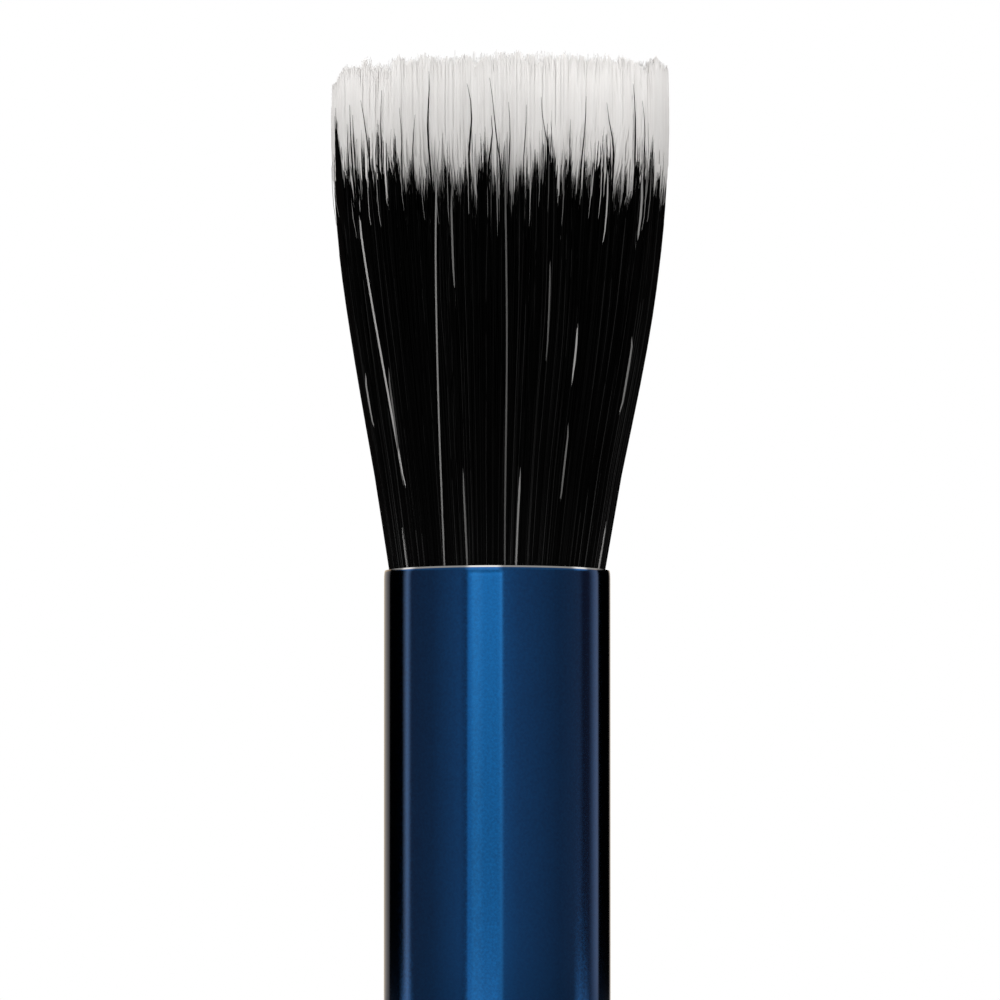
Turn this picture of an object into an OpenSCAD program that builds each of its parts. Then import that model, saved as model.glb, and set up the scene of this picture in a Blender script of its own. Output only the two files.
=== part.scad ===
// Round stipple brush: a flared, flat-topped head of black hair and longer white fibre,
// set in a crimped aluminium ferrule on a turned wooden handle.
// Millimetres. +Z runs along the brush from the butt of the handle, z = 0, to the fibre tips.

/* [Overall] */
// Whole length of the brush, from the butt of the handle to the fibre tips
brush_l = 185; // [165:1:205]

/* [Head] */
// Length of white fibre that stands out of the ferrule
white_l = 38.8; // [36:0.2:42]
// Length of black hair that stands out of the ferrule
black_l = 30.6; // [28:0.2:33]
// Diameter of the head at the fibre tips
head_d = 25.4; // [22:0.2:28]
// Height above the mouth at which the head stops widening
flare_l = 34; // [33:0.5:36]
// Height of the dome of the flat-cut tips
tip_dome = 0.9; // [0.2:0.1:1.5]
// White fibre's share of the head's radius, where the black hair surrounds it
white_core = 0.38; // [0.3:0.02:0.5]

/* [Ferrule] */
// Outside diameter of the ferrule
ferrule_d = 17; // [15:0.5:20]
// Length of the ferrule, from the mouth to the handle
ferrule_l = 42; // [40:1:50]
// Thickness of the ferrule's tube
ferrule_wall = 0.3; // [0.25:0.05:0.4]
// Depth of each crimp
crimp_depth = 0.35; // [0.2:0.05:0.5]
// Width of each crimp
crimp_w = 1.8; // [1.4:0.2:2.2]

/* [Handle] */
// Step in radius from the ferrule down to the handle behind it
handle_step = 0.1; // [0.05:0.05:0.5]
// Diameter of the slender part of the handle, near the butt
tail_d = 8.2; // [7:0.2:10]
// Diameter of the flat on the butt
butt_flat_d = 4.4; // [3:0.2:5]
// Air gap inside the ferrule, between the tenon and the glue under the hair
tenon_gap = 1.5; // [1:0.5:6]

/* [Root of the head] */
// Depth of the hair inside the ferrule
root_l = 14.5; // [14:0.5:16]
// Thickness of the binding thread
thread_d = 0.5; // [0.4:0.1:0.6]
// Turns of the binding thread
thread_turns = 5; // [4:1:6]

/* [Hidden] */

$fn = 96;
ferrule_r = ferrule_d / 2;
bore_r = ferrule_r - ferrule_wall;
head_r = head_d / 2;
mouth_z = brush_l - white_l;
ferrule_z = mouth_z - ferrule_l;
root_z = mouth_z - root_l;

// The lip at each end of the ferrule rolls in by lip_in over a height of lip_l
lip_in = 0.055;
lip_l = 1.0;
lip_power = 4;
lip_steps = 9;

// Crimps, at these distances from the lower end of the ferrule
crimp_at = [4.6, 8.2];
crimp_steps = 8;

// Root of the head: glue below the hair, a collar of glue round its end, then the thread
glue_floor = 3;
glue_collar = 2;
neck_cone = 0.7;
thread_side_gap = 0.1;
thread_end_gap = 0.12;
thread_pitch = thread_d + 0.02;
thread_sides = 6;
thread_steps = 24;
neck_r = bore_r - thread_d - 2 * thread_side_gap;
thread_top = glue_collar + 2 * thread_end_gap + (thread_turns + 1) * thread_pitch;

// Tenon of the handle: it fills the ferrule up to the air gap, inside a film of glue
glue_film = 0.12;
tenon_r = bore_r - glue_film;
tenon_chamfer = 1;
tenon_top = root_z - glue_floor - tenon_gap;

// Outline of the head
flare_power = 1.2;
flare_steps = 16;
dome_steps = 6;

// Outline of the handle: a rounded butt, a slender tail, and a swelling up to the ferrule
grip_r = ferrule_r - handle_step;
butt_l = 5;
butt_steps = 8;
tail_l = 10;
grip_l = 12;
swell_steps = 22;
shoulder_drop = 0.1;
shoulder_l = 0.4;

// A smooth step from 0 to 1, with level ends
function ease(t) = (1 - cos(180 * t)) / 2;

function reversed(points) = [for (i = [len(points) - 1 : -1 : 0]) points[i]];

// Depth of the crimps at a height, 0 away from them
function crimp(z) = max([for (c = crimp_at)
    let (s = abs(z - ferrule_z - c) / (crimp_w / 2)) s < 1 ? crimp_depth * ease(1 - s) : 0]);

// The crimps on a surface of radius r as [radius, height] points, from low to high
function crimps(r) = [for (c = crimp_at, i = [0 : crimp_steps])
    let (z = ferrule_z + c + crimp_w * (i / crimp_steps - 0.5)) [r - crimp(z), z]];

// A crimped surface as points between two heights
function crimped(r, low, high) = concat([[r, low]], crimps(r), [[r, high]]);

// The lip at an end of the ferrule as points, from the straight wall; up is 1 at the mouth
function lip(z, up) = [for (i = [0 : lip_steps]) let (s = sin(90 * i / lip_steps))
    [ferrule_r - lip_in * pow(s, lip_power), z - up * lip_l * (1 - s)]];

// Outside radius of the head at a height above the mouth
function flare(h) = bore_r + (head_r - bore_r) * pow(sin(90 * min(1, h / flare_l)), flare_power);

// The head's outside as points between two heights, scaled for the core
function flared(scale, low, high) = [for (i = [0 : flare_steps])
    let (h = low + (high - low) * i / flare_steps) [scale * flare(h), mouth_z + h]];

// The dome of the tips as points, from its rim in to the axis
function dome(rim, top) = [for (i = [1 : dome_steps])
    let (s = 1 - i / dome_steps) [flare(rim) * s, mouth_z + top - tip_dome * s * s]];

// Radius of the handle at a height
function handle_r(z) =
    let (swell_z = ferrule_z - grip_l,
         t = min(1, max(0, (z - tail_l) / (swell_z - tail_l))),
         body = tail_d / 2 + (grip_r - tail_d / 2) * ease(t),
         b = min(1, z / butt_l))
    butt_flat_d / 2 + (body - butt_flat_d / 2) * sqrt(1 - pow(1 - b, 2));

// The turned handle: butt, tail, grip, and the tenon that goes into the ferrule
module handle() {
    body_l = ferrule_z - shoulder_l - butt_l;
    color("#141416") rotate_extrude() polygon(concat(
        [[0, 0]],
        [for (i = [0 : butt_steps]) let (z = butt_l * (1 - cos(90 * i / butt_steps))) [handle_r(z), z]],
        [for (i = [1 : swell_steps]) let (z = butt_l + body_l * i / swell_steps) [handle_r(z), z]],
        [[grip_r - shoulder_drop, ferrule_z]],
        crimped(tenon_r, ferrule_z, tenon_top - tenon_chamfer),
        [[tenon_r - tenon_chamfer, tenon_top], [0, tenon_top]]));
}

// The film of glue between the tenon and the ferrule
module handle_glue() {
    film_top = tenon_top - tenon_chamfer;
    color("#c8b98a") rotate_extrude() polygon(concat(
        crimped(bore_r, ferrule_z, film_top),
        reversed(crimped(tenon_r, ferrule_z, film_top))));
}

// The drawn tube, crimped on to the tenon, with a rounded lip at each end
module ferrule() {
    color("#124f94") rotate_extrude() polygon(concat(
        reversed(lip(ferrule_z, -1)),
        crimps(ferrule_r),
        lip(mouth_z, 1),
        reversed(crimped(bore_r, ferrule_z, mouth_z))));
}

// The cast glue under the hair, with a collar that rises round it
module root_glue() {
    color("#d9c27a") rotate_extrude() polygon([
        [0, root_z - glue_floor], [bore_r, root_z - glue_floor],
        [bore_r, root_z + glue_collar], [neck_r, root_z + glue_collar],
        [neck_r, root_z], [0, root_z]]);
}

// One thread wound round the neck of the hair, each turn lying on the one below
module root_binding() {
    coil_r = (bore_r + neck_r) / 2;
    low = root_z + glue_collar + thread_end_gap + thread_d / 2;
    rings = thread_turns * thread_steps;
    points = [for (i = [0 : rings], k = [0 : thread_sides - 1])
        let (turn = 360 * i / thread_steps, side = 360 * k / thread_sides,
             r = coil_r + thread_d / 2 * cos(side))
        [r * cos(turn), r * sin(turn), low + thread_pitch * i / thread_steps + thread_d / 2 * sin(side)]];
    function corner(i, k) = i * thread_sides + k % thread_sides;
    color("#e8e2d2") polyhedron(points, concat(
        [[for (k = [0 : thread_sides - 1]) corner(0, k)]],
        [for (i = [0 : rings - 1], k = [0 : thread_sides - 1])
            [corner(i, k), corner(i + 1, k), corner(i + 1, k + 1), corner(i, k + 1)]],
        [[for (k = [thread_sides - 1 : -1 : 0]) corner(rings, k)]]));
}

// The black hair, round the white core, from the glue up to its own tips
module black_hair() {
    color("#0b0b0c") rotate_extrude() polygon(concat(
        [[white_core * bore_r, root_z], [neck_r, root_z], [neck_r, root_z + thread_top],
         [bore_r, root_z + thread_top + neck_cone]],
        flared(1, 0, black_l),
        reversed(flared(white_core, 0, black_l))));
}

// The white fibre: a core inside the black hair, and above it the whole width of the tips
module white_fibre() {
    rim = white_l - tip_dome;
    color("#e4e1dd") rotate_extrude() polygon(concat(
        [[0, root_z], [white_core * bore_r, root_z]],
        flared(white_core, 0, black_l),
        flared(1, black_l, rim),
        dome(rim, white_l)));
}

handle();
handle_glue();
ferrule();
root_glue();
root_binding();
black_hair();
white_fibre();
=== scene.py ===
"""Round stipple brush: real strands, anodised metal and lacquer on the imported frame.

Lengths are in metres. The brush stands along +Z on its butt. The camera looks along +Y, with +X
to the right, and a bearing is in degrees round the brush from the camera's side, positive to the
right.
"""
import math

import bpy
import numpy as np
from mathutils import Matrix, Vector


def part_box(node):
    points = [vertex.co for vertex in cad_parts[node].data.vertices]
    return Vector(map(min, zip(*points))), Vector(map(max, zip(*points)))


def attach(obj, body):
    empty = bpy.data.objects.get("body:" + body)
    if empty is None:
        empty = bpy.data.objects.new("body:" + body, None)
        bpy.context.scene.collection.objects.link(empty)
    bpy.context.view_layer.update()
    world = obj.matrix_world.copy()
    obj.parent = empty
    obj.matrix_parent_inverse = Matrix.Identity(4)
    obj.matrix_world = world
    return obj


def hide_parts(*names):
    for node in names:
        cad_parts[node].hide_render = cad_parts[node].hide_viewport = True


MM = 0.001

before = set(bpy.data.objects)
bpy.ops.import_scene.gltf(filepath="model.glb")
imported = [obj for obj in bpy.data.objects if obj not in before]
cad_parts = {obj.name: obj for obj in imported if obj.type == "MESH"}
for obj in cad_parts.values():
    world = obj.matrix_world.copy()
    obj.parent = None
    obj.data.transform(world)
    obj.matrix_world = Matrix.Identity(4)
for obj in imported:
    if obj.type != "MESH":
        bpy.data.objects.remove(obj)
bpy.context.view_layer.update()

# The binding thread's thickness and the gap on each side of it, as in part.scad
THREAD_D = 0.5 * MM
THREAD_GAP = 0.1 * MM

# Landmarks of the CAD frame
FERRULE_LOW, FERRULE_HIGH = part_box("ferrule")
HAIR_LOW, HAIR_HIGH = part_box("black_hair")
FIBRE_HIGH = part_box("white_fibre")[1]
FERRULE_R = FERRULE_HIGH.x
FERRULE_Z = FERRULE_LOW.z
MOUTH_Z = FERRULE_HIGH.z
ROOT_Z = HAIR_LOW.z
BORE_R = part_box("handle_glue")[1].x
TENON_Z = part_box("handle")[1].z
GRIP_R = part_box("handle")[1].x
THREAD_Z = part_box("root_binding")[1].z
NECK_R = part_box("root_binding")[1].x - THREAD_D - THREAD_GAP
HEAD_R = FIBRE_HIGH.x
BLACK_L = HAIR_HIGH.z - MOUTH_Z
WHITE_L = FIBRE_HIGH.z - MOUTH_Z


# ---------------------------------------------------------------- materials

def principled(name, **values):
    """A material, its node tree and its Principled shader, with constant values on its sockets."""
    mat = bpy.data.materials.new(name)
    mat.use_nodes = True
    tree = mat.node_tree
    shader = tree.nodes["Principled BSDF"]
    for socket, value in values.items():
        shader.inputs[socket.replace("_", " ")].default_value = value
    return mat, tree, shader


def node(tree, kind, values=None, **settings):
    """A node with its settings, and values or links for its inputs by name or number."""
    made = tree.nodes.new(kind)
    for key, value in settings.items():
        setattr(made, key, value)
    for key, value in (values or {}).items():
        if isinstance(value, bpy.types.NodeSocket):
            tree.links.new(value, made.inputs[key])
        else:
            made.inputs[key].default_value = value
    return made


def maths(tree, operation, a, b=0.0):
    """The result of a Math node."""
    return node(tree, "ShaderNodeMath", {0: a, 1: b}, operation=operation).outputs[0]


def remap(tree, value, low, high, to_low=0.0, to_high=1.0):
    """A value carried from one range to another, and held at its ends."""
    inputs = {0: value, 1: low, 2: high, 3: to_low, 4: to_high}
    return node(tree, "ShaderNodeMapRange", inputs).outputs[0]


def ramp(tree, value, stops):
    """A colour ramp's colour. stops are (place, colour)."""
    made = node(tree, "ShaderNodeValToRGB", {0: value})
    parts = made.color_ramp.elements
    while len(parts) < len(stops):
        parts.new(1)
    for part, (place, colour) in zip(parts, stops):
        part.position = place
        part.color = (*colour, 1)
    return made.outputs["Color"]


def grey(level):
    """A neutral colour."""
    return (level, level, level)


def greys(stops):
    """A ramp's stops from (place, grey level)."""
    return [(place, grey(level)) for place, level in stops]


def mix(tree, factor, a, b, blend="MIX"):
    """Two colours mixed."""
    made = node(tree, "ShaderNodeMix", data_type="RGBA", blend_type=blend)
    for socket, value in zip((made.inputs[0], made.inputs[6], made.inputs[7]), (factor, a, b)):
        if isinstance(value, bpy.types.NodeSocket):
            tree.links.new(value, socket)
        else:
            socket.default_value = value if isinstance(value, float) else (*value, 1)
    return made.outputs[2]


def object_xyz(tree):
    """Object coordinates, whole and as (x, y, z)."""
    coords = node(tree, "ShaderNodeTexCoord").outputs["Object"]
    return coords, node(tree, "ShaderNodeSeparateXYZ", {0: coords}).outputs


def noise(tree, coords, scale, detail=2.0):
    """A noise texture's value."""
    inputs = {"Vector": coords, "Scale": scale, "Detail": detail}
    return node(tree, "ShaderNodeTexNoise", inputs).outputs[0]


def bump(tree, shader, height, strength, distance):
    """Relief on a shader's normal."""
    inputs = {"Strength": strength, "Distance": distance, "Height": height}
    made = node(tree, "ShaderNodeBump", inputs)
    tree.links.new(made.outputs[0], shader.inputs["Normal"])


# Columns of the UV square, each with a tone of its own
TONES = 32


def strand_material(name, tones, along, **values):
    """Hair or fibre: a tone for each column of strands, times a shade from the root to the tip."""
    mat, tree, shader = principled(name, **values)
    uv = node(tree, "ShaderNodeUVMap", uv_map="OFBake").outputs[0]
    u, v, _ = node(tree, "ShaderNodeSeparateXYZ", {0: uv}).outputs
    column = maths(tree, "FLOOR", maths(tree, "MULTIPLY", u, float(TONES)))
    tone = ramp(tree, maths(tree, "DIVIDE", column, TONES - 1.0), tones)
    colour = mix(tree, 1.0, tone, ramp(tree, v, along), "MULTIPLY")
    tree.links.new(colour, shader.inputs["Base Color"])
    return mat


def ferrule_material():
    """Blue anodised aluminium with a fine satin grain, and a bare rim where the tube was cut."""
    mat, tree, shader = principled("blue_anodised", Metallic=1.0, Coat_Weight=0.5, Coat_IOR=1.5,
                                   Coat_Roughness=0.08)
    coords, (_, _, z) = object_xyz(tree)
    grain = noise(tree, coords, 5200.0)
    cloud = noise(tree, coords, 260.0, 3.0)
    blue = ramp(tree, grain, [(0.3, (0.0034, 0.113, 0.366)), (0.7, (0.0046, 0.15, 0.464))])
    shade = ramp(tree, cloud, greys([(0.3, 0.94), (0.7, 1.0)]))
    blue = mix(tree, 1.0, blue, shade, "MULTIPLY")
    bare = remap(tree, z, MOUTH_Z - 0.14 * MM, MOUTH_Z - 0.1 * MM)
    tree.links.new(mix(tree, bare, blue, (0.86, 0.84, 0.81)), shader.inputs["Base Color"])
    tree.links.new(remap(tree, grain, 0.3, 0.7, 0.065, 0.105), shader.inputs["Roughness"])
    return mat


def lacquer_material():
    """Black gloss lacquer over turned wood: faint turning rings under the coat, a few scuffs."""
    mat, tree, shader = principled("black_lacquer", Coat_Weight=0.8, Coat_Roughness=0.04)
    coords, _ = object_xyz(tree)
    soft = noise(tree, coords, 120.0, 4.0)
    scuff = noise(tree, coords, 900.0, 5.0)
    colour = ramp(tree, soft, [(0.35, (0.006, 0.006, 0.007)), (0.7, (0.012, 0.012, 0.013))])
    tree.links.new(colour, shader.inputs["Base Color"])
    tree.links.new(remap(tree, scuff, 0.4, 0.75, 0.07, 0.16), shader.inputs["Roughness"])
    inputs = {"Vector": coords, "Scale": 420.0, "Distortion": 1.5}
    rings = node(tree, "ShaderNodeTexWave", inputs, wave_type="BANDS", bands_direction="Z")
    bump(tree, shader, rings.outputs[1], 0.03, 0.05 * MM)
    return mat


def glue_material():
    """Cured epoxy, amber and a little cloudy."""
    mat, tree, shader = principled("cured_glue", Roughness=0.25)
    coords, _ = object_xyz(tree)
    cloud = noise(tree, coords, 700.0, 3.0)
    colour = ramp(tree, cloud, [(0.3, (0.5, 0.34, 0.1)), (0.75, (0.72, 0.55, 0.24))])
    tree.links.new(colour, shader.inputs["Base Color"])
    return mat


def thread_material():
    """Waxed binding thread: the twist of its plies in relief, and painted shade in their grooves."""
    mat, tree, shader = principled("waxed_thread", Roughness=0.6)
    coords, _ = object_xyz(tree)
    inputs = {"Vector": coords, "Scale": 900.0, "Distortion": 1.0}
    plies = node(tree, "ShaderNodeTexWave", inputs, wave_type="BANDS", bands_direction="DIAGONAL")
    twist = plies.outputs[1]
    # Darker where the plies' relief sinks: painted shade in the grooves between them
    colour = ramp(tree, twist, [(0.2, (0.55, 0.48, 0.38)), (0.8, (0.8, 0.75, 0.66))])
    tree.links.new(colour, shader.inputs["Base Color"])
    bump(tree, shader, twist, 0.5, 0.1 * MM)
    return mat


# Black hair, a little lighter near the ferrule. White fibre has painted shade where it stands in the
# black hair, and painted light that grows towards its tip.
BLACK = strand_material(
    "black_hair",
    # Its lightest tones, on a few strands, are painted sheen
    tones=greys([(0, 0.0003), (0.7, 0.0008), (0.92, 0.003), (1, 0.014)]),
    along=greys([(0.34, 2.0), (0.46, 1.0), (1, 0.9)]),
    Roughness=0.42, Specular_IOR_Level=0.04)
WHITE = strand_material(
    "white_fibre",
    tones=[(0, (0.89, 0.868, 0.848)), (0.4, (0.91, 0.89, 0.87)), (1, (0.94, 0.923, 0.905))],
    # Painted shade low in the black hair, then painted light that grows towards the tip
    along=greys([(0, 0.06), (0.77, 0.1), (0.8, 0.2), (0.845, 0.58), (0.88, 0.72), (0.94, 0.83),
                 (0.985, 0.965)]),
    Roughness=0.55, Specular_IOR_Level=0.3)
INNER_WHITE = strand_material(
    "white_fibre_inner",
    tones=[(0, (0.76, 0.748, 0.737)), (0.5, (0.88, 0.869, 0.858)), (1, (0.95, 0.94, 0.93))],
    # Painted shade low in the black hair, then painted light that grows towards the tip
    along=greys([(0, 0.06), (0.77, 0.1), (0.87, 0.6), (0.95, 0.85), (0.99, 1.0)]),
    Roughness=0.6, Specular_IOR_Level=0.2)
# White fibre over the black hair: its white is painted down to grey as painted shade, darker towards
# its root
LONG_WHITE = strand_material(
    "white_fibre_long",
    tones=[(0, (0.06, 0.059, 0.058)), (1, (0.34, 0.335, 0.33))],
    along=greys([(0, 0.5), (0.5, 1.0)]),
    Roughness=0.55, Specular_IOR_Level=0.3)


# ---------------------------------------------------------------- pieces

def piece(name, mesh, material, stands_for=()):
    """A mesh as a piece of the brush."""
    ob = bpy.data.objects.new(name, mesh)
    bpy.context.collection.objects.link(ob)
    mesh.materials.append(material)
    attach(ob, "root")
    if stands_for:
        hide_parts(*stands_for)
    return ob


def raw_mesh(name, points, corners, sizes, uv):
    """A mesh from flat arrays: points, the corners of all faces in turn, the faces' sizes, UVs."""
    mesh = bpy.data.meshes.new(name)
    mesh.vertices.add(points.size // 3)
    mesh.vertices.foreach_set("co", points.ravel())
    mesh.loops.add(len(corners))
    mesh.loops.foreach_set("vertex_index", corners)
    mesh.polygons.add(len(sizes))
    mesh.polygons.foreach_set("loop_start", np.concatenate([[0], np.cumsum(sizes)[:-1]]))
    mesh.update(calc_edges=True)
    mesh.uv_layers.new(name="OFBake").data.foreach_set("uv", uv.ravel())
    mesh.shade_smooth()
    return mesh


# Segments of a turned piece, and the share of the UV square left clear at each of its ends
SEGMENTS = 256
UV_MARGIN = 0.02


def turned_points(rings):
    """A row of points for each ring of (radius, height), and each ring's height in the UV square."""
    steps = np.linalg.norm(np.diff(rings, axis=0), axis=1)
    v = np.concatenate([[0], np.cumsum(steps)]) / steps.sum()
    v = UV_MARGIN + (1 - 2 * UV_MARGIN) * v
    turn = 2 * np.pi * (np.arange(SEGMENTS) / SEGMENTS + 0.25)
    r, z = rings[:, 0, None], rings[:, 1, None]
    return np.stack([r * np.cos(turn), r * np.sin(turn), z + 0 * turn], -1), v


def turned_wall(index, v):
    """Four-cornered faces between rows of point numbers, and their UVs."""
    low, high = index[:-1], index[1:]
    faces = np.stack([low, np.roll(low, -1, 1), np.roll(high, -1, 1), high], -1).reshape(-1, 4)
    grid = (len(low), SEGMENTS, 4)
    u = np.arange(SEGMENTS) / SEGMENTS
    u4 = np.broadcast_to(np.stack([u, u + 1 / SEGMENTS, u + 1 / SEGMENTS, u], -1), grid)
    v4 = np.broadcast_to(np.stack([v[:-1], v[:-1], v[1:], v[1:]], -1)[:, None], grid)
    return faces, np.stack([u4, v4], -1).reshape(-1, 2)


def turned_ends(index, v):
    """Three-cornered faces that join the first and last rows to the two points on the axis, which
    are numbered after all the others, and the faces' UVs."""
    first, last = index[0], index[-1]
    bottom = np.stack([np.roll(first, -1), first, np.full(SEGMENTS, index.size)], -1)
    top = np.stack([last, np.roll(last, -1), np.full(SEGMENTS, index.size + 1)], -1)
    u = np.arange(SEGMENTS) / SEGMENTS
    fan = np.stack([u + 1 / SEGMENTS, u, u + 0.5 / SEGMENTS], -1)
    low_v = np.tile([v[0], v[0], 0.0], SEGMENTS)
    high_v = np.tile([v[-1], v[-1], 1.0], SEGMENTS)
    uv = np.concatenate([np.stack([fan.ravel(), low_v], -1),
                         np.stack([fan[:, [1, 0, 2]].ravel(), high_v], -1)])
    return np.concatenate([bottom, top]), uv


def revolve(name, outline, material, stands_for):
    """A turned piece from its outline of (radius, height), anticlockwise.

    An outline that starts on the axis also ends there, and any other one closes on itself.
    """
    outline = np.array(outline)
    solid = outline[0, 0] == 0
    rings = outline[1:-1] if solid else np.concatenate([outline, outline[:1]])
    points, v = turned_points(rings)
    index = np.arange(len(rings) * SEGMENTS).reshape(-1, SEGMENTS)
    if not solid:
        index[-1] = index[0]
        points = points[:-1]
    faces, uv = turned_wall(index, v)
    points = points.reshape(-1, 3)
    corners, sizes = faces.ravel(), np.full(len(faces), 4)
    if solid:
        points = np.concatenate([points, [[0, 0, outline[0, 1]], [0, 0, outline[-1, 1]]]])
        ends, ends_uv = turned_ends(index, v)
        corners = np.concatenate([corners, ends.ravel()])
        sizes = np.concatenate([sizes, np.full(len(ends), 3)])
        uv = np.concatenate([uv, ends_uv])
    mesh = raw_mesh(name, points, corners, sizes, uv)
    mesh.set_sharp_from_angle(angle=math.radians(35))
    return piece(name, mesh, material, stands_for)


# Share of the UV square's height that the flat end of a strand takes
CAP_V = 0.004


def strand_uv(lines, tone):
    """UVs of the strands' faces: all the sides, then the root ends, then the tip ends.

    Each strand's faces lie in one of TONES columns of the UV square, so that the material can give
    it a tone of its own across, and a change along.
    """
    column = np.floor(tone * TONES) / TONES
    along = (lines[..., 2] - lines[:, :1, 2]) / (lines[:, -1:, 2] - lines[:, :1, 2])
    side = (np.arange(4) + 0.25) / (TONES * 3.5)
    side_u = column[:, None, None, None] + np.stack([side[:3], side[1:], side[1:], side[:3]], -1)
    side_v = np.stack([along[:, :-1], along[:, :-1], along[:, 1:], along[:, 1:]], -1)[:, :, None]
    side_uv = np.stack(np.broadcast_arrays(side_u, side_v), -1).reshape(-1, 2)
    end_u = np.repeat(column, 3) + np.tile(side[:3], len(lines))
    end_v = np.tile([0.0, CAP_V, 0.0], len(lines))
    return np.concatenate([side_uv, np.stack([end_u, end_v], -1), np.stack([end_u, 1 - end_v], -1)])


def soft_normals(spokes, rings, soft, up):
    """A shading normal for each corner of the strands' faces, in the order of strand_uv.

    soft is how far the normals turn from the strand's own to straight away from the axis, or on
    the strand's inner face straight towards it, as light that passes through fine fibres makes
    them look. up turns them towards the tips as well.
    """
    facing = np.stack([spokes[:, :, 0], -spokes[:, :, 0], spokes[:, :, 0]], 2)[..., None, :]
    facing = facing * (1 - up) + (0, 0, up)
    pair = np.stack([spokes, np.roll(spokes, -1, 2), np.roll(spokes, -1, 2), spokes], 3)
    sides = (pair * (1 - soft) + facing * soft).repeat(rings - 1, 1).reshape(-1, 3)
    ends = spokes[:, 0, :1] * 0.5 * (1 - up)
    ends = np.broadcast_to(ends, (len(spokes), 3, 3)).reshape(-1, 3)
    normal = np.concatenate([sides, ends + (0, 0, -1), ends + (0, 0, 1)])
    return normal / np.linalg.norm(normal, axis=1, keepdims=True)


def tubes(name, lines, radius, tone, material, stands_for=(), soft=0.0, up=0.0):
    """One piece of closed three-sided tubes, one to each strand, with a corner away from the axis.

    lines are the strands' centre lines, and tone is from 0 to 1 for each of them.
    """
    strands, rings = radius.shape
    outward = np.arctan2(lines[:, -1, 1], lines[:, -1, 0])
    turn = outward[:, None] + np.arange(3) * 2 * np.pi / 3
    spokes = np.stack([np.cos(turn), np.sin(turn), 0 * turn], -1)[:, None]
    points = lines[:, :, None] + radius[:, :, None, None] * spokes
    index = np.arange(strands * rings * 3).reshape(strands, rings, 3)
    low, high = index[:, :-1], index[:, 1:]
    sides = np.stack([low, np.roll(low, -1, 2), np.roll(high, -1, 2), high], -1)
    ends = np.concatenate([index[:, 0, ::-1], index[:, -1]])
    corners = np.concatenate([sides.ravel(), ends.ravel()])
    sizes = np.concatenate([np.full(sides.size // 4, 4), np.full(len(ends), 3)])
    mesh = raw_mesh(name, points, corners, sizes, strand_uv(lines, tone))
    if soft:
        mesh.normals_split_custom_set(soft_normals(spokes, rings, soft, up))
    return piece(name, mesh, material, stands_for)


# ---------------------------------------------------------------- the head

# Outline of the head, as in part.scad, and the strands' clearance inside the ferrule
FLARE_L = 34 * MM
FLARE_POWER = 1.2
BORE_GAP = 0.05 * MM

# How far the head leans to the right, and the height above the mouth over which it comes
LEAN = 0.22 * MM
LEAN_L = 20 * MM


def smooth(x):
    """A smooth step from 0 to 1."""
    x = np.clip(x, 0, 1)
    return x * x * (3 - 2 * x)


def head_radius(h):
    """Outside radius of the head at a height above the mouth."""
    widening = np.sin(0.5 * np.pi * np.clip(h / FLARE_L, 0, 1)) ** FLARE_POWER
    return BORE_R - BORE_GAP + (HEAD_R - BORE_R) * widening


def level_cut(across, side):
    """Height of the cut tips above the mouth.

    across is a share of the radius, and side a place from -1 at the left to 1 at the right.
    """
    edge = 0.6 * smooth((-side - 0.9) / 0.1) + 0.15 * smooth((-side - 0.6) / 0.2)
    hollow = 0.8 * np.clip(side, 0, 1) * (1 - side)
    return WHITE_L - (0.55 + 0.75 * across ** 2 - 0.3 * side + hollow + edge) * MM


def near_edge(root):
    """1 at the head's left and right edges, and 0 within 0.85 of its radius from the middle."""
    return smooth((np.abs(root[:, 0]) - 0.85) / 0.15)


def white_share(rng, root, h):
    """White fibre's share of the width: inside the black hair, then all of it above the hair's tips."""
    start = (27.2 - rng.exponential(1.0, len(root)) - 1.5 * near_edge(root)) * MM
    return 0.86 + 0.14 * smooth((h - start[:, None]) / (6 * MM))


def scatter(rng, count, inner=0.0, outer=1.0):
    """Points spread evenly over a ring of the unit disc."""
    i = np.arange(count) + 0.5
    r = np.sqrt(inner ** 2 + (outer ** 2 - inner ** 2) * i / count)
    a = i * math.pi * (3 - math.sqrt(5))
    xy = np.stack([r * np.cos(a), r * np.sin(a)], -1)
    xy += rng.normal(0, 0.5 * math.sqrt((outer ** 2 - inner ** 2) / count), xy.shape)
    return xy / np.maximum(1, np.linalg.norm(xy, axis=1, keepdims=True))


def sway(rng, t, size):
    """A slow sideways wander of each strand: nothing at the mouth, about size at the tip."""
    out = np.zeros((len(size), len(t), 2))
    for waves in (0.6, 1.3, 2.4):
        phase = rng.uniform(0, 2 * np.pi, (len(size), 1, 2))
        turn = 2 * np.pi * waves * t[None, :, None]
        out += rng.normal(0, 1, phase.shape) * (np.sin(turn + phase) - np.sin(phase)) / (1 + waves)
    return out * size[:, None, None] * (t ** 1.3)[None, :, None]


class Locks:
    """Locks that the strands of one kind lie in, as places in the unit disc."""

    def __init__(self, seed, count, spread):
        rng = np.random.default_rng(seed)
        self.centre = scatter(rng, count)
        self.offset = rng.normal(0, spread, count)
        self.size = 1 / math.sqrt(count)

    def gather(self, root):
        """For each strand: which lock it is in, and how far out in it."""
        nearest = np.empty(len(root), int)
        for i in range(0, len(root), 1000):
            gap = root[i:i + 1000, None, :] - self.centre[None]
            nearest[i:i + 1000] = (gap ** 2).sum(-1).argmin(1)
        out = np.linalg.norm(root - self.centre[nearest], axis=1) / self.size
        return nearest, np.clip(out, 0, 1.5)


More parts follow.
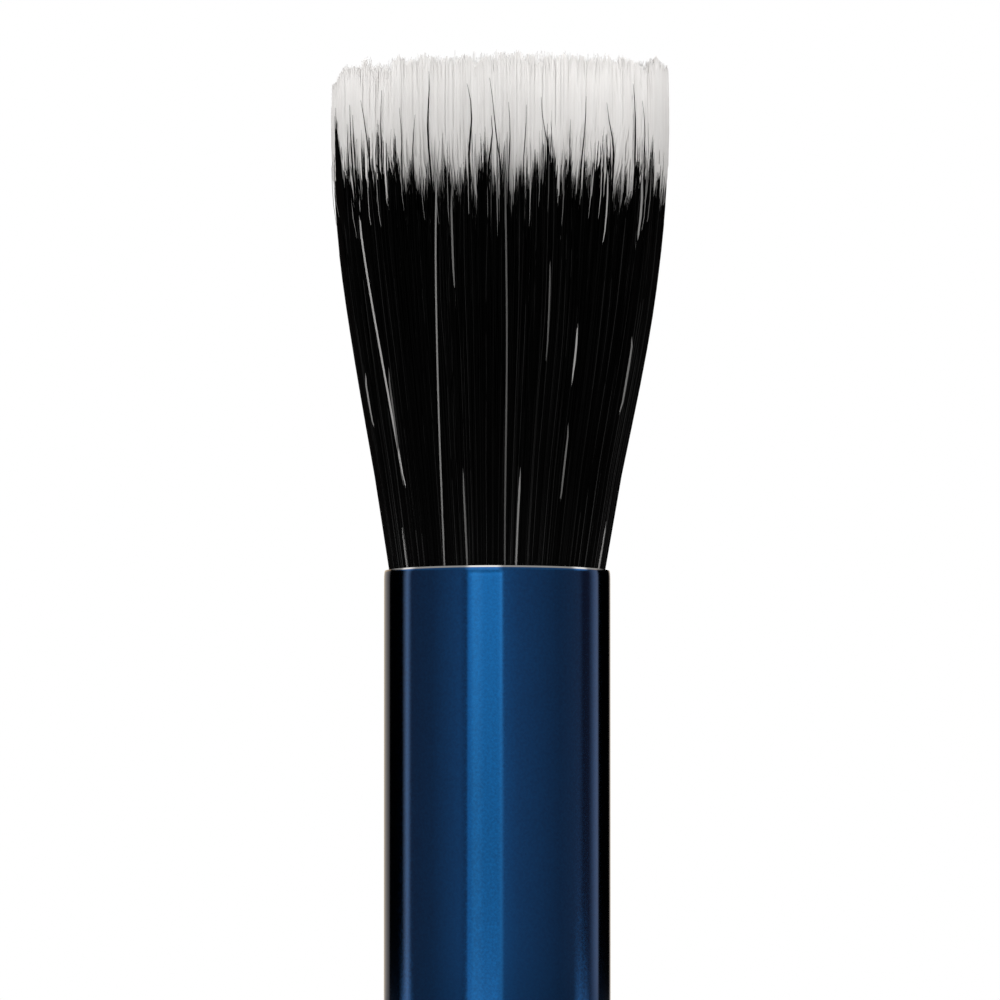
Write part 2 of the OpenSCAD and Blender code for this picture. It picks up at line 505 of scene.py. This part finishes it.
def comb(xy, h, size):
    """Strands moved round the axis in slow waves that neighbours share, by about size at the tips."""
    bearing = np.arctan2(xy[..., 1], xy[..., 0])
    waves = sum(np.sin(k * bearing + 190 * h + k) / k ** 0.5 for k in (5, 9, 14, 23, 37))
    turn = waves * 0.5 * size / HEAD_R * smooth(h / FLARE_L)
    x, y = xy[..., 0], xy[..., 1]
    return np.stack([x * np.cos(turn) - y * np.sin(turn), x * np.sin(turn) + y * np.cos(turn)], -1)


def rooted(plan, xy, h, proud=0.0):
    """Centre lines from the glue: up the bound neck, out of the mouth, then along xy at heights h.

    proud is how far they may stand out of the head's outline.
    """
    slack = 0.1 * (smooth(h / FLARE_L) - 1) * MM + proud * smooth(0.5 + h / (2 * MM))
    reach = np.linalg.norm(xy, axis=-1, keepdims=True)
    xy = xy * np.minimum(1, (head_radius(h) + slack)[..., None] / np.maximum(reach, 1e-9))
    xy[..., 0] += LEAN * smooth(h / LEAN_L)
    above = np.concatenate([xy, (MOUTH_Z + h)[..., None]], -1)
    neck = [np.concatenate([plan * NECK_R, np.full((len(plan), 1), z)], -1)
            for z in (ROOT_Z, THREAD_Z)]
    return np.concatenate([np.stack(neck, 1), above], 1)


def taper(lines, thick, tip, over):
    """Radius along each strand: thick, then thinning to tip over the last part of its height."""
    left = (lines[:, -1:, 2] - lines[..., 2]) / over
    return (tip + (thick[:, None] - tip) * np.clip(left, 0, 1)) / 2


def grow(name, seed, root, steps, locks, pull, late, tips, thick, tip, over, wander, material, slot,
         share=None, stands_for=(), soft=0.0, up=0.0):
    """A batch of the head's strands as one piece.

    root are the strands' places in the unit disc, and steps the rings above the mouth. pull is how
    far a strand leans to the middle of its lock, and a higher late leaves that to its tip. thick
    thins to tip over the last part of the height. wander is each strand's own sideways wave.
    """
    rng = np.random.default_rng(seed)
    lock, out = locks.gather(root)
    height = tips(rng, root, locks.offset[lock], out)
    t = np.linspace(0, 1, steps) ** 0.6
    h = height[:, None] * t
    lean = (pull * rng.uniform(0.7, 1.2, (len(root), 1)) * t[None] ** late)[..., None]
    plan = root[:, None] * (1 - lean) + locks.centre[lock][:, None] * lean
    if share:
        plan = plan * share(rng, root, h)[..., None]
    xy = comb(plan * head_radius(h)[..., None], h, 0.25 * MM)
    xy += sway(rng, t, wander * rng.gamma(2.0, 0.5, len(root)))
    lines = rooted(plan[:, 0], xy, h)
    radius = taper(lines, thick * rng.uniform(0.75, 1.25, len(root)), tip, over)
    tubes(name, lines, radius, rng.random(len(root)), material, stands_for, soft, up)


def white_tips(rng, root, offset, out):
    """Height of the white tips: the level cut, with each lock and each strand a little off it."""
    across = np.linalg.norm(root, axis=1)
    short = 0.3 * out + rng.exponential(0.28, len(root))
    return level_cut(across, root[:, 0]) + (offset - short + 0.36) * MM


def black_tips(rng, root, offset, out):
    """Height of the black tips: pointed locks, shorter inside the head and at its left and right
    edges, with a few long strands."""
    short = 1.6 * rng.random(len(root)) + 1.3 * out * rng.uniform(0.6, 1.2, len(root))
    short += near_edge(root)
    short += 1.0 * (np.linalg.norm(root, axis=1) < 0.94)
    long = 2.5 * (rng.random(len(root)) < 0.04) * rng.random(len(root))
    return BLACK_L + (offset - short + long + 1.37) * MM


BLACK_KIND = {
    "locks": Locks(5, 750, 1.2), "pull": 0.6, "late": 9, "tips": black_tips, "thick": 0.09 * MM,
    "tip": 0.01 * MM, "over": 5 * MM, "wander": 0.15 * MM, "material": BLACK, "slot": "black_hair"}
WHITE_KIND = {
    "locks": Locks(6, 1000, 0.25), "pull": 0.1, "late": 14, "tips": white_tips,
    "tip": 0.06 * MM, "over": 1.2 * MM, "wander": 0.04 * MM, "slot": "white_fibre",
    "share": white_share, "soft": 0.9}

# (name, strands, rings, inside and outside as shares of the radius)
BLACK_BATCHES = [
    ("black_hair_core", 2600, 7, 0.0, 0.88), ("black_hair_middle", 2400, 12, 0.87, 0.95),
    ("black_hair_outer", 2400, 12, 0.93, 1.0), ("black_hair_shell", 2400, 12, 0.96, 1.0)]
# The same, then the thickness, the material and how far the normals turn up
WHITE_BATCHES = [
    ("white_fibre_core", 3400, 8, 0.0, 0.86, 0.2 * MM, INNER_WHITE, 0.75),
    ("white_fibre_middle", 3000, 9, 0.85, 0.96, 0.2 * MM, INNER_WHITE, 0.45),
    ("white_fibre_outer", 2500, 11, 0.95, 1.0, 0.14 * MM, WHITE, 0.08),
    ("white_fibre_shell", 2500, 11, 0.97, 1.0, 0.14 * MM, WHITE, 0.05)]


def head():
    """All the batches. The first of each kind stands for the CAD node of that kind."""
    rng = np.random.default_rng(7)
    for k, (name, count, steps, inner, outer) in enumerate(BLACK_BATCHES):
        grow(name, 10 + k, scatter(rng, count, inner, outer), steps,
             stands_for=() if k else ("black_hair",), **BLACK_KIND)
    for k, (name, count, steps, inner, outer, thick, material, up) in enumerate(WHITE_BATCHES):
        grow(name, 20 + k, scatter(rng, count, inner, outer), steps, thick=thick, material=material,
             up=up, stands_for=() if k else ("white_fibre",), **WHITE_KIND)


# Single strands: how deep they lie where they are hidden, how far they stand proud where they are
# shown, the height at which the black strays come free, and the longest stretch they fade over
HIDDEN_DEPTH = 0.5 * MM
PROUD = 0.12 * MM
FREE_H = 26 * MM
FADE_L = 8 * MM


def surface_strands(name, bearing, height, shown, thick, tip, over, tone, material, lean, wave):
    """Single strands that lie on the outside of the head.

    bearing, in degrees, is given at the mouth and at the tip, shown is the range of heights at
    which the strand is outside, and lean and wave move it sideways above FREE_H.
    """
    rings = 28
    t = np.linspace(0, 1, rings)
    h = height[:, None] * t
    fade = np.minimum(FADE_L, 0.45 * (shown[:, 1:] - shown[:, :1]))
    outside = smooth((h - shown[:, :1]) / fade) * smooth((shown[:, 1:] - h) / (0.8 * fade))
    depth = (HIDDEN_DEPTH + PROUD) * outside - HIDDEN_DEPTH
    reach = head_radius(h) + depth * smooth(h / (2 * MM))
    free = np.clip((h - FREE_H) / np.maximum(height - FREE_H, 1 * MM)[:, None], 0, 1)
    aside = lean[:, None] * free ** 1.6 + wave[:, None] * np.sin(free * 7.0 + bearing[:, :1]) * free
    angle = np.radians(bearing[:, :1] + (bearing[:, 1:] - bearing[:, :1]) * t) + aside / reach
    xy = np.stack([reach * np.sin(angle), -reach * np.cos(angle)], -1)
    lines = rooted(xy[:, 0] / BORE_R, xy, h, PROUD)
    radius = taper(lines, thick, tip, over)
    radius[:, 2:] *= 0.05 + 0.95 * np.clip((outside - 0.5) / 0.5, 0, 1)
    tubes(name, lines, radius, tone, material, soft=0.0 if material == BLACK else 0.8)


# Black strays that stand up over the white: bearing, then the tip's height above the mouth, lean,
# wave and thickness in mm
STRAYS = [
    (-71, 34.6, -0.9, 0.0, 0.18), (-70, 33.4, -0.8, 0.0, 0.24), (-69.5, 32.6, -0.7, 0.0, 0.24),
    (-68.5, 31.8, -0.6, 0.0, 0.20), (-73, 34.0, -0.7, 0.0, 0.26), (-72, 33.0, -0.6, 0.0, 0.3),
    (-74, 32.2, -0.5, 0.0, 0.3), (-60, 34.6, -0.4, 0.0, 0.13), (-58, 33.8, -0.4, 0.0, 0.15),
    (-62, 33.2, -0.5, 0.1, 0.13), (-48, 34.8, -1.5, 0.1, 0.12), (-44, 35.4, 0.0, 0.1, 0.10),
    (-35, 34.0, -0.2, 0.1, 0.10), (-31, 33.4, 0.2, 0.1, 0.15), (-24, 36.6, -0.3, 0.2, 0.16),
    (-10, 35.6, -0.2, 0.3, 0.16), (-4, 33.2, 0.2, 0.2, 0.18), (1, 36.0, -1.1, 0.1, 0.08),
    (3, 34.2, 0.0, 0.1, 0.09), (8, 34.0, 0.1, 0.1, 0.08), (18, 34.6, -0.9, 0.2, 0.10),
    (24, 33.0, 0.1, 0.1, 0.14), (28, 34.8, 0.5, 0.1, 0.12), (42, 34.4, -0.5, 0.3, 0.15),
    (53, 36.0, -0.4, 0.1, 0.13), (59, 34.8, -0.6, 0.2, 0.10),
]
# White fibres that lie over the black: bearing at the mouth and at the tip, then the heights in mm
# above the mouth that they are shown from and to
LONG_FIBRES = [
    (-29, -20, -9, 34), (4, 1, -9, 34), (-47, -63, 1, 31), (-51, -50, 1, 19), (-16, -18, -9, 11),
    (-17, -17, 16, 31), (10, 12, -9, 11), (32, 31, 1, 13), (31, 31, 11, 20), (20, 17, 11, 26),
    (64, 61, 8, 20), (69, 76, -9, 8), (-56, -55, -9, 7), (-70, -70, 8, 17), (39, 40, 21, 32),
    (57, 58, 21, 32),
]


def strays():
    """Stray black hairs: the listed ones in front, and others at the sides and back."""
    rng = np.random.default_rng(31)
    rows = np.array(STRAYS, float)
    others = 60
    around = np.stack([rng.uniform(100, 260, others), 33.5 + rng.gamma(1.5, 0.6, others),
                       rng.normal(0, 0.5, others), rng.uniform(0, 0.3, others),
                       rng.uniform(0.045, 0.075, others)], -1)
    rows = np.concatenate([rows, around])
    bearing = rows[:, [0, 0]]
    shown = np.tile([20 * MM, 60 * MM], (len(rows), 1))
    surface_strands("black_strays", bearing, rows[:, 1] * MM, shown, rows[:, 4] * MM,
                    0.02 * MM, 4 * MM, rng.random(len(rows)) * 0.8, BLACK,
                    rows[:, 2] * MM, rows[:, 3] * MM)


def long_fibres():
    """White fibres over the black hair.

    They are the listed ones in front, others at the sides and back, and a fringe of fine ones that
    hangs from the white all round, but for the right-hand edge.
    """
    rng = np.random.default_rng(32)
    rows = np.array(LONG_FIBRES, float)
    others = 34
    start = rng.uniform(100, 260, others)
    low = rng.uniform(-4, 24, others)
    around = np.stack([start, start + rng.normal(0, 5, others), low,
                       low + 4 + rng.gamma(2, 4, others)], -1)
    fringe = 48
    start = rng.uniform(-72, 288, fringe)
    start[(start > 72) & (start < 100)] = 0
    low = rng.uniform(21, 26, fringe)
    high = np.full(fringe, 34.0)
    hanging = np.stack([start, start + rng.normal(0, 2, fringe), low, high], -1)
    rows = np.concatenate([rows, around, hanging])
    thick = np.concatenate([rng.uniform(0.12, 0.18, len(rows) - fringe),
                            rng.uniform(0.035, 0.065, fringe)])
    none = np.zeros(len(rows))
    height = np.full(len(rows), WHITE_L - 1.6 * MM)
    surface_strands("white_strays", rows[:, :2], height, rows[:, 2:] * MM, thick * MM,
                    0.03 * MM, 6 * MM, rng.random(len(rows)), LONG_WHITE, none, none)


head()
strays()
long_fibres()


# ---------------------------------------------------------------- ferrule, handle and glue

# As in part.scad, with a finer outline; the crimps lie between the two heights of CRIMP_SPAN
CRIMPS = [4.6 * MM, 8.2 * MM]
CRIMP_W = 1.8 * MM
CRIMP_DEPTH = 0.35 * MM
CRIMP_SPAN = (FERRULE_Z + 3 * MM, FERRULE_Z + 10 * MM)
LIP_IN = 0.055 * MM
LIP_L = 1.0 * MM
LIP_POWER = 4
BUTT_L = 5 * MM
TAIL_L = 10 * MM
GRIP_L = 12 * MM
TAIL_R = 4.1 * MM
BUTT_FLAT_R = 2.2 * MM
TENON_R = BORE_R - 0.12 * MM
TENON_CHAMFER = 1 * MM
SHOULDER_L = 0.4 * MM
SHOULDER_DROP = 0.1 * MM


def crimped(r, heights):
    """Radius at each height of a surface that the crimps press in."""
    out = np.full(len(heights), float(r))
    for at in CRIMPS:
        near = np.clip(1 - np.abs(heights - FERRULE_Z - at) / (CRIMP_W / 2), 0, 1)
        out -= CRIMP_DEPTH * (1 - np.cos(np.pi * near)) / 2
    return out


def ferrule():
    """The tube, with smooth crimps and a lip at each end."""
    s = np.sin(np.linspace(0, np.pi / 2, 16))
    lip_r = FERRULE_R - LIP_IN * s ** LIP_POWER
    crimp_z = np.linspace(*CRIMP_SPAN, 90)
    wall = np.stack([crimped(FERRULE_R, crimp_z), crimp_z], -1)
    bottom = np.stack([lip_r, FERRULE_Z + LIP_L * (1 - s)], -1)[::-1]
    top = np.stack([lip_r, MOUTH_Z - LIP_L * (1 - s)], -1)
    bore = np.stack([crimped(BORE_R, crimp_z), crimp_z], -1)[::-1]
    outline = np.concatenate([bottom, wall, top, [[BORE_R, MOUTH_Z]], bore, [[BORE_R, FERRULE_Z]]])
    revolve("ferrule_tube", outline, ferrule_material(), ("ferrule",))


def handle():
    """The turned handle, with the tenon inside the ferrule."""
    z = np.concatenate([BUTT_L * (1 - np.cos(np.linspace(0, np.pi / 2, 16))),
                        np.linspace(BUTT_L, FERRULE_Z - SHOULDER_L, 120)[1:]])
    t = np.clip((z - TAIL_L) / (FERRULE_Z - GRIP_L - TAIL_L), 0, 1)
    body = TAIL_R + (GRIP_R - TAIL_R) * (1 - np.cos(np.pi * t)) / 2
    butt = np.clip(z / BUTT_L, 0, 1)
    r = BUTT_FLAT_R + (body - BUTT_FLAT_R) * np.sqrt(1 - (1 - butt) ** 2)
    crimp_z = np.linspace(*CRIMP_SPAN, 40)
    outline = np.concatenate([
        [[0, 0]],
        np.stack([r, z], -1),
        [[GRIP_R - SHOULDER_DROP, FERRULE_Z], [TENON_R, FERRULE_Z]],
        np.stack([crimped(TENON_R, crimp_z), crimp_z], -1),
        [[TENON_R, TENON_Z - TENON_CHAMFER], [TENON_R - TENON_CHAMFER, TENON_Z], [0, TENON_Z]]])
    revolve("handle_turned", outline, lacquer_material(), ("handle",))


def finish_node(name, material):
    """A carried-over CAD node takes a material in every slot."""
    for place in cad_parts[name].material_slots:
        place.link = "OBJECT"
        place.material = material


ferrule()
handle()
glue = glue_material()
finish_node("handle_glue", glue)
finish_node("root_glue", glue)
finish_node("root_binding", thread_material())


# ---------------------------------------------------------------- stage, light and camera

def staged(name, points, faces):
    """A mesh that isn't part of the brush."""
    mesh = bpy.data.meshes.new(name)
    mesh.from_pydata(points, [], faces)
    ob = bpy.data.objects.new(name, mesh)
    bpy.context.collection.objects.link(ob)
    return ob


def pale_floor():
    """A plain pale floor under the brush, clear from below and left out of the brush's gloss."""
    half = 0.9
    points = [(-half, -half, 0), (half, -half, 0), (half, half, 0), (-half, half, 0)]
    floor = staged("floor", points, [(0, 1, 2, 3)])
    floor.visible_glossy = False
    mat, tree, shader = principled("pale_floor", Roughness=0.9, Specular_IOR_Level=0.0)
    shader.inputs["Base Color"].default_value = (0.7, 0.697, 0.692, 1)
    below = node(tree, "ShaderNodeNewGeometry").outputs["Backfacing"]
    clear = node(tree, "ShaderNodeBsdfTransparent").outputs[0]
    seen = node(tree, "ShaderNodeMixShader", {0: below, 1: shader.outputs[0], 2: clear}).outputs[0]
    tree.links.new(seen, tree.nodes["Material Output"].inputs["Surface"])
    floor.data.materials.append(mat)


# What the metal mirrors: bearing, and the colour there of the cards level with the ferrule, then
# bearing and grey level of the plain ones above and below them
CARDS = [
    (-180, (1.0, 0.85, 0.62)), (-165, (0.58, 0.48, 0.36)), (-143, (0.2, 0.14, 0.09)),
    (-141.5, (0, 0, 0)), (-112, (0, 0, 0)), (-107, (0.75, 0.4, 0.3)), (-104.5, (1.2, 0.62, 0.48)),
    (-102, (0.9, 0.45, 0.36)), (-98, (0.15, 0.09, 0.09)), (-70, (0.2, 0.12, 0.12)),
    (-38, (0.3, 0.24, 0.25)), (-31, (0.21, 0.16, 0.17)), (-29.3, (0.35, 0.6, 0.65)),
    (-27, (0.45, 0.8, 0.86)), (-24, (0.78, 1.08, 1.03)), (-18, (0.76, 1.05, 1.02)),
    (-13, (0.48, 0.86, 0.88)), (1, (0.48, 0.86, 0.88)), (4.3, (0.9, 1.15, 1.1)),
    (6, (0.33, 0.32, 0.34)), (22, (0.3, 0.23, 0.24)), (66, (0.2, 0.12, 0.12)),
    (92, (0.26, 0.13, 0.12)), (98, (0.1, 0.04, 0.04)), (107, (0.1, 0.045, 0.045)),
    (112, (0.3, 0.18, 0.16)), (118, (0.55, 0.36, 0.31)), (123.5, (0.65, 0.43, 0.35)),
    (126, (0, 0, 0)), (160, (0, 0, 0)), (169, (0.6, 0.5, 0.4)), (180, (1.0, 0.85, 0.62)),
]
PLAIN_CARDS = [
    (-180, 0.9), (-168, 0.85), (-158, 0.1), (-118, 0.06), (-112, 0.9), (-102, 0.9), (-94, 0.1),
    (-34, 0.1), (-28, 1.1), (0, 1.1), (6, 0.12), (84, 0.06), (91, 1.0), (102, 1.0), (109, 0.1),
    (158, 0.06), (168, 0.85), (180, 0.9),
]
# Height in metres, and the brightness there of the bright cards level with the ferrule
CARD_HEIGHTS = [(0.133, 0.64), (0.154, 0.66), (0.161, 0.81), (0.18, 1.0), (0.186, 1.16), (0.189, 1.3),
                (0.195, 1.35), (0.205, 1.0), (0.23, 0.62), (0.38, 0.6)]
# Heights between which the plain cards below give way to them, and they to the plain ones above
FADE_IN = (0.116, 0.128)
FADE_OUT = (0.26, 0.3)
CARDS_R = 0.7
CARDS_TOP = 1.2


def card_material():
    """A glow that gives each bearing and height its card."""
    mat = bpy.data.materials.new("cards")
    mat.use_nodes = True
    tree = mat.node_tree
    tree.nodes.clear()
    _, (x, y, z) = object_xyz(tree)
    bearing = maths(tree, "ARCTAN2", x, maths(tree, "MULTIPLY", y, -1.0))
    share = remap(tree, bearing, -math.pi, math.pi)
    level, plain = [ramp(tree, share, [((b + 180) / 360, colour) for b, colour in cards])
                    for cards in (CARDS, greys(PLAIN_CARDS))]

    # Only the bright cards change with height
    blue = node(tree, "ShaderNodeSeparateColor", {0: level}).outputs[2]
    bright = remap(tree, blue, 0.6, 0.85)
    heights = greys([(h / CARDS_TOP, brightness) for h, brightness in CARD_HEIGHTS])
    fall = ramp(tree, maths(tree, "DIVIDE", z, CARDS_TOP), heights)
    strength = node(tree, "ShaderNodeMix", {0: bright, 2: 1.0, 3: fall}, data_type="FLOAT").outputs[0]
    level = node(tree, "ShaderNodeVectorMath", {0: level, "Scale": strength}, operation="SCALE")

    # The plain cards above are a little lighter and more even than those below
    above, below = remap(tree, z, *FADE_OUT), remap(tree, z, *reversed(FADE_IN))
    plain = mix(tree, remap(tree, z, *FADE_OUT, 0.0, 0.3), plain, grey(0.75))
    colour = mix(tree, maths(tree, "MAXIMUM", above, below), level.outputs[0], plain)
    glow = node(tree, "ShaderNodeEmission", {"Color": colour})
    node(tree, "ShaderNodeOutputMaterial", {"Surface": glow.outputs[0]})
    return mat


def card_ring():
    """Reflector cards round the brush, seen only in its gloss."""
    sides = 36
    turn = [2 * math.pi * i / sides for i in range(sides)]
    points = [(CARDS_R * math.sin(a), -CARDS_R * math.cos(a), z)
              for z in (-CARDS_TOP, CARDS_TOP) for a in turn]
    faces = [(i, (i + 1) % sides, sides + (i + 1) % sides, sides + i) for i in range(sides)]
    ring = staged("cards", points, faces)
    for seen_by in ("camera", "diffuse", "transmission", "shadow", "volume_scatter"):
        setattr(ring, "visible_" + seen_by, False)
    ring.data.materials.append(card_material())


def area_light(name, bearing, elevation, distance, size, watts):
    """A soft square light that looks at the middle of the head."""
    target = Vector((0, 0, MOUTH_Z + WHITE_L / 2))
    a, e = math.radians(bearing), math.radians(elevation)
    way = Vector((math.sin(a) * math.cos(e), -math.cos(a) * math.cos(e), math.sin(e)))
    data = bpy.data.lights.new(name, "AREA")
    data.size = size
    data.energy = watts
    ob = bpy.data.objects.new(name, data)
    bpy.context.collection.objects.link(ob)
    ob.location = target + way * distance
    ob.rotation_euler = way.to_track_quat("Z", "Y").to_euler()
    ob.visible_glossy = False
    ob.visible_camera = False


def sky(level):
    """Pure white behind the brush, and a soft even light of that level."""
    world = bpy.data.worlds.new("studio")
    bpy.context.scene.world = world
    world.use_nodes = True
    tree = world.node_tree
    background = tree.nodes["Background"]
    background.inputs["Color"].default_value = (1, 1, 1, 1)
    seen = node(tree, "ShaderNodeLightPath").outputs["Is Camera Ray"]
    tree.links.new(remap(tree, seen, 0.0, 1.0, level, 1.0), background.inputs["Strength"])


# The picture's width in ferrule diameters, how many degrees below the ferrule's mouth the camera
# stands, and where it looks, to the right of the axis and above the mouth
VIEW_WIDTH = 4.41
BELOW_MOUTH = 2.95
AIM_RIGHT = 0.21 * MM
AIM_UP = 5.35 * MM


def camera():
    """A long lens in front of the brush, level with its middle and looking up at the head."""
    data = bpy.data.cameras.new("camera")
    data.sensor_width = 36
    data.lens = 450
    data.clip_start = 0.05
    data.clip_end = 20
    ob = bpy.data.objects.new("camera", data)
    bpy.context.collection.objects.link(ob)
    distance = VIEW_WIDTH * 2 * FERRULE_R * data.lens / data.sensor_width
    target = Vector((AIM_RIGHT, 0, MOUTH_Z + AIM_UP))
    drop = distance * math.tan(math.radians(BELOW_MOUTH))
    eye = Vector((AIM_RIGHT, -distance, MOUTH_Z - drop))
    ob.location = eye
    ob.rotation_euler = (eye - target).to_track_quat("Z", "Y").to_euler()
    bpy.context.scene.camera = ob


# (name, bearing, elevation, distance, size, watts)
LIGHTS = [("key", -4, 2, 1.1, 0.3, 5.4), ("left", -80, 10, 1.1, 0.6, 4.8),
          ("right", 78, 10, 1.1, 0.6, 5.4), ("back", -175, 22, 1.0, 0.6, 5.5),
          ("top", 20, 82, 1.2, 0.6, 7.0)]

pale_floor()
card_ring()
sky(0.22)
for light in LIGHTS:
    area_light(*light)
camera()
bpy.context.scene.view_settings.view_transform = "Standard"
